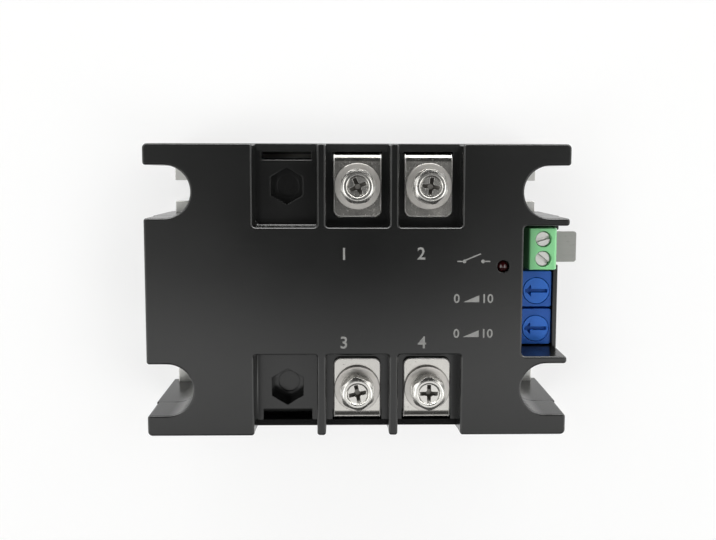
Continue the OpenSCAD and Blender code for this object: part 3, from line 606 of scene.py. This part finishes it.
# %% Control recess
BLOCK_R, LINK_R, CLAMP_R = 0.16 * MM, 0.1 * MM, 0.08 * MM
TRIMMER_R, LENS_R = 0.18 * MM, 0.06 * MM
rounded("terminal_block", BLOCK_R, green_block, "wire_block")
rounded("shorting_link", LINK_R, link_metal, "link_plate")
for n in (1, 2):
    rounded(f"block_screw_{n}", CLAMP_R, white_zinc, f"clamp_screw_head_{n}", spare_narrow=True)
    rounded(f"trimmer_body_{n}", TRIMMER_R, blue_case, f"trimmer_case_{n}")
rounded("status_lamp", LENS_R, red_lens, "lamp_lens")

# %% Trimmer dials with painted shade in the slot
DIAL_R, SLOT_TOP, SLOT_DEEP = 0.14 * MM, 0.2 * MM, 2.0 * MM
FACES_UP = 0.9
for n in (1, 2):
    node = f"trimmer_rotor_{n}"
    dial_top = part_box(node)[1].z
    made = merged_copy(node)
    round_edges(made, DIAL_R)
    # Faces low in the slot take the darker blue: painted shade
    for face in made.faces:
        in_slot = SLOT_TOP < dial_top - face.calc_center_median().z < SLOT_DEEP
        face.material_index = int(in_slot and face.normal.z > FACES_UP)
    piece = stand_for(as_piece(made, f"trimmer_dial_{n}", blue_rotor, painted_slot_shade), node)
    print(piece.name, "dark faces", sum(p.material_index for p in piece.data.polygons))

# %% [markdown]
# ## Threaded screws
#
# A rolled thread follows one rule: the radius at a point depends on its height minus its turn about the
# axis. That suits Geometry Nodes: a plain tube with many rings is moved in or out by a
# triangle wave of that sum. The head comes from the CAD node, with rounded edges, and the thread
# takes the place of the plain shank inside the same outline.

# %% A thread from one rule
AROUND, RUN_OUT = 40, 0.6 * MM
# Whole turns keep the wave's input above zero, and the tiny length keeps the division safe
WHOLE_TURNS, TINY = 100.0, 1e-6


def thread_tree():
    tree = bpy.data.node_groups.new("rolled_thread", "GeometryNodeTree")
    kinds = {"Rings": "NodeSocketInt", "Finish": "NodeSocketMaterial"}
    for name in ("Radius", "Depth", "Pitch", "Length", "Rings", "Finish"):
        tree.interface.new_socket(name, in_out="INPUT", socket_type=kinds.get(name, "NodeSocketFloat"))
    tree.interface.new_socket("Thread", in_out="OUTPUT", socket_type="NodeSocketGeometry")
    group = tree.nodes.new("NodeGroupInput")
    value = {s.name: Sock(tree, s) for s in group.outputs if s.name}
    radius, pitch, length = value["Radius"], value["Pitch"], value["Length"]
    tube = radius.node("GeometryNodeMeshCylinder", {"fill_type": "NGON"}, {
        "Vertices": AROUND, "Side Segments": value["Rings"], "Radius": radius, "Depth": length}, "Mesh")
    where = radius.node("GeometryNodeInputPosition")
    x, y, z = (radius.node("ShaderNodeSeparateXYZ", {}, {"Vector": where}, k) for k in "XYZ")
    turn = radius.maths("ARCTAN2", y, x) / (2 * math.pi)
    wave = radius.maths("PINGPONG", z / pitch - turn + WHOLE_TURNS, 0.5) * 2.0
    to_end = length * 0.5 - radius.maths("ABSOLUTE", z)
    run_out = to_end.step(0.0, RUN_OUT)
    scale = 1.0 - (1.0 - wave * run_out) * value["Depth"] / radius
    reach = radius.maths("SQRT", x * x + y * y)
    share = scale * radius / radius.maths("MAXIMUM", reach, TINY)
    moved = radius.node("ShaderNodeCombineXYZ", {}, {"X": x * share, "Y": y * share, "Z": z})
    shaped = radius.node("GeometryNodeSetPosition", {}, {"Geometry": tube, "Position": moved})
    whole = radius.node("GeometryNodeRealizeInstances", {}, {"Geometry": shaped})
    dressed = radius.node("GeometryNodeSetMaterial", {}, {"Geometry": whole, "Material": value["Finish"]})
    out = tree.nodes.new("NodeGroupOutput")
    tree.links.new(dressed.socket, out.inputs["Thread"])
    return tree


rolled_thread = thread_tree()


def thread_mesh(**sizes):
    """The thread as a plain mesh about its own middle."""
    holder = bpy.data.objects.new("thread", bpy.data.meshes.new("thread"))
    bpy.context.scene.collection.objects.link(holder)
    modifier = holder.modifiers.new("thread", "NODES")
    modifier.node_group = rolled_thread
    sockets = {i.name: i.identifier for i in rolled_thread.interface.items_tree if i.in_out == "INPUT"}
    for name, size in sizes.items():
        modifier[sockets[name]] = size
    mesh = bpy.data.meshes.new_from_object(holder.evaluated_get(bpy.context.evaluated_depsgraph_get()))
    bpy.data.objects.remove(holder)
    return mesh


print("thread tree:", len(rolled_thread.nodes), "nodes")

# %% Four terminal screws
HEAD_H, DISH_DEPTH, CROSS_REACH = 3.5 * MM, 0.5 * MM, 2.5 * MM
CROSS_LOW, CROSS_TOP = 0.3 * MM, 0.6 * MM
CROWN_R, HEAD_EDGE_R, HEAD_SHARP = 0.21 * MM, 0.06 * MM, 24.0
THREAD = {"Radius": 2.44 * MM, "Depth": 0.42 * MM, "Pitch": 0.8 * MM, "Rings": 150}


def screw_head(node, top, axis):
    """The head of a screw without its shank, with rounded edges and a cross for the second finish, a
    darker metal that paints shade into the recess.
    """
    under_head = top - HEAD_H
    made = merged_copy(node)
    shank = [v for v in made.verts if v.co.z < under_head - NEAR]
    bmesh.ops.delete(made, geom=shank, context="VERTS")
    bmesh.ops.holes_fill(made, edges=[e for e in made.edges if e.is_boundary], sides=0)
    bmesh.ops.recalc_face_normals(made, faces=made.faces)

    def out_of_cross(edge):
        dish_z = top - DISH_DEPTH - TOUCH
        return all(v.co.z > dish_z or from_axis(v.co, axis) > CROSS_REACH for v in edge.verts)

    round_edges(made, CROWN_R, HEAD_SHARP, 5, lambda edge: all_above(edge, top - TOUCH))
    round_edges(made, HEAD_EDGE_R, HEAD_SHARP, 2, out_of_cross)
    # Faces deep in the cross take the darker metal: painted shade
    for face in made.faces:
        middle = face.calc_center_median()
        deep = under_head + CROSS_LOW < middle.z < top - CROSS_TOP
        face.material_index = int(deep and from_axis(middle, axis) < CROSS_REACH)
    return made


for n in range(1, 5):
    node = f"terminal_screw_{n}"
    low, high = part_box(node)
    axis = (low + high) / 2
    length = high.z - HEAD_H - low.z
    made = screw_head(node, high.z, axis)
    thread = thread_mesh(Length=length, Finish=plated_steel, **THREAD)
    thread.transform(Matrix.Translation((axis.x, axis.y, low.z + length / 2)))
    made.from_mesh(thread)
    piece = stand_for(as_piece(made, f"hex_screw_{n}", plated_steel, recess_painted_shade), node)
    print(piece.name, "faces", len(piece.data.polygons), "thread", round(length / MM, 2), "mm")

# %% [markdown]
# ## Inner pieces
#
# The board and the power stage are hidden by the housing, and only show through the recess or when
# the housing is taken away. Their CAD shapes are right as they are, so they keep their own meshes
# and take a finish.

# %% Finishes of the CAD nodes that stay
inner_finish = {
    "control_board": board_lacquer, "ceramic_substrate": white_ceramic, "copper_pads": copper,
    "chip_strap_1": copper, "chip_strap_2": copper,
    "thyristor_1": grey_silicon, "thyristor_2": grey_silicon,
    "controller_chip": epoxy_black, "optocoupler_1": epoxy_black, "optocoupler_2": epoxy_black,
    "rectifier": epoxy_black, "supply_capacitor": film_red, "smoothing_capacitor": can_sleeve,
    "resistors": lacquer_tan,
}
for node, piece in nodes.items():
    if not piece.hide_render:
        piece.data.materials.clear()
        piece.data.materials.append(inner_finish.get(node, small_metal))
print("inner nodes:", [n for n, o in nodes.items() if not o.hide_render])

# %% [markdown]
# ## Print on the front face
#
# The print is a thin film of grey ink. Each mark is made flat, given three hundredths of a
# millimetre of thickness, and laid on the face: plain terminal numbers, a rising wedge with the ends
# of its scale beside each trimmer, and an open contact beside the wire block.

# %% Ink and marks
ink, ink_shader, ink_place = start_finish("grey_ink", {"IOR": 1.45})
ink_wear = ink_place.noise(1.4, 3.0, 0.6)
ink_colour = ink_wear.mix(rgb(0.16, 0.16, 0.155), rgb(0.36, 0.36, 0.35))
ink_place.feed(ink_shader.inputs["Base Color"], ink_colour)
ink_place.feed(ink_shader.inputs["Roughness"], 0.45 + ink_wear * 0.15)
bump(ink_place, ink_wear, ink_shader, 0.004)
INK_T, INK_SUNK = 0.03 * MM, 0.005 * MM
# A font is this much taller than its figures, and the outline is swelled by a share of their height
FONT_PER_FIGURE, BOLD = 1.4, 0.02


def printed(name, outlines):
    """One piece of ink from flat outlines in millimetres on the front face."""
    made = bmesh.new()
    for outline in outlines:
        made.faces.new([made.verts.new((x * MM, y * MM, FACE_Z - INK_SUNK)) for x, y in outline])
    top = bmesh.ops.extrude_face_region(made, geom=list(made.faces), use_keep_orig=True)
    lifted = [v for v in top["geom"] if isinstance(v, bmesh.types.BMVert)]
    bmesh.ops.translate(made, verts=lifted, vec=(0, 0, INK_T))
    bmesh.ops.recalc_face_normals(made, faces=made.faces)
    piece = as_piece(made, name, ink)
    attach(piece, "housing")
    return piece


def numeral(name, words, x, y, size):
    """Printed figures centred on a place, size millimetres tall."""
    curve = bpy.data.curves.new(name, "FONT")
    curve.body = words
    curve.size = size * MM * FONT_PER_FIGURE
    curve.align_x, curve.align_y = "CENTER", "CENTER"
    curve.extrude = INK_T / 2
    curve.resolution_u = 4
    curve.offset = BOLD * size * MM
    letter = bpy.data.objects.new(name, curve)
    bpy.context.scene.collection.objects.link(letter)
    mesh = bpy.data.meshes.new_from_object(letter.evaluated_get(bpy.context.evaluated_depsgraph_get()))
    bpy.data.objects.remove(letter)
    mesh.transform(Matrix.Translation((x * MM, y * MM, FACE_Z + INK_T / 2 - INK_SUNK)))
    mesh.materials.clear()
    mesh.materials.append(ink)
    piece = bpy.data.objects.new(name, mesh)
    bpy.context.scene.collection.objects.link(piece)
    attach(piece, "housing")
    return piece


print("film of ink", round(INK_T / MM, 3), "mm thick")

# %% Terminal numbers and trimmer scales
NUMBERS = (("1", -3.4, 9.3), ("2", 15.7, 9.4), ("3", -3.4, -12.9), ("4", 16.1, -12.9))
NUMBER_H, SCALE_H = 3.0, 2.2
SCALE_ROWS, SCALE_LOW_X, SCALE_HIGH_X = (-1.8, -10.6), 24.6, 32.2
WEDGE_LEFT, WEDGE_RIGHT, WEDGE_BELOW, WEDGE_ABOVE = 26.2, 30.2, 0.8, 0.9
for words, x, y in NUMBERS:
    numeral("mark_" + words, words, x, y, NUMBER_H)
for n, y in enumerate(SCALE_ROWS, 1):
    numeral(f"scale_low_{n}", "0", SCALE_LOW_X, y, SCALE_H)
    numeral(f"scale_high_{n}", "10", SCALE_HIGH_X, y, SCALE_H)
    foot, peak = y - WEDGE_BELOW, y + WEDGE_ABOVE
    printed(f"scale_wedge_{n}", [[(WEDGE_LEFT, foot), (WEDGE_RIGHT, foot), (WEDGE_RIGHT, peak)]])
print("numbers", len(NUMBERS), "scales", len(SCALE_ROWS))

# %% Open contact beside the wire block
CONTACT_Y, DOT_R, LINE_HALF = 7.6, 0.45, 0.15
DOTS_X = (26.4, 31.0)
LEADS_X = ((24.6, 26.0), (31.4, 32.8))
LEVER = [(26.7, 7.75), (30.5, 9.35), (30.4, 9.65), (26.6, 8.05)]


def disc(x, y, r, count=20):
    turns = [2 * math.pi * i / count for i in range(count)]
    return [(x + r * math.cos(t), y + r * math.sin(t)) for t in turns]


def bar(left, right, y):
    low, high = y - LINE_HALF, y + LINE_HALF
    return [(left, low), (right, low), (right, high), (left, high)]


dots = [disc(x, CONTACT_Y, DOT_R) for x in DOTS_X]
leads = [bar(left, right, CONTACT_Y) for left, right in LEADS_X]
printed("contact_mark", dots + leads + [LEVER])
print("marks printed at height", round(FACE_Z / MM, 2), "mm")

low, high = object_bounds()
print("visual box", [round(x / MM, 2) for x in high - low], "mm")
